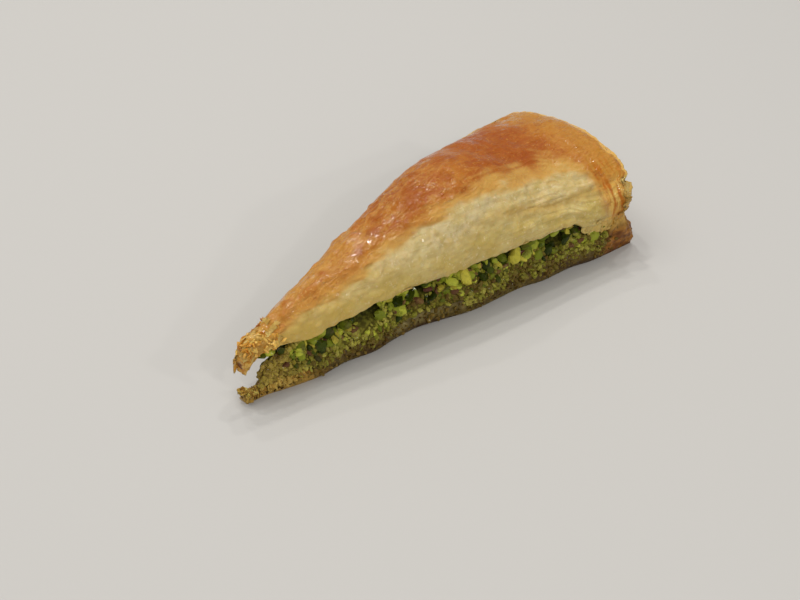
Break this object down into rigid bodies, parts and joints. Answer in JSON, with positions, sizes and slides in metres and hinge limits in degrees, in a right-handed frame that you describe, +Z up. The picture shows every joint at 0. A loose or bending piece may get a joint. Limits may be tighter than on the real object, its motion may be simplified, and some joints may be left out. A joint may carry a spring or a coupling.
{
  "type": "baklava slice",
  "caption": "Pointed slice of pistachio baklava: puffed golden top of pastry leaves over a chopped pistachio bed and a thin soaked pastry base.",
  "frame": {"origin": "on the surface that the slice rests on, under the middle of its bounding box", "axes": "+X along the slice from the point to the browned tray rim, +Y towards the far cut side, +Z up"},
  "size_m": [0.1684, 0.072, 0.0477],
  "materials": {
    "soaked_pastry": "brown syrup-soaked pastry leaves, moist, browned at the rim",
    "chopped_pistachio": "chopped green pistachio with purple-brown skins, moist",
    "glazed_pastry": "golden brown pastry leaves with a syrup glaze, cream on the cut sides"
  },
  "bodies": {
    "root": {"base_pastry": "soaked_pastry", "pistachio_filling": "chopped_pistachio", "top_pastry": "glazed_pastry"}
  },
  "joints": []
}
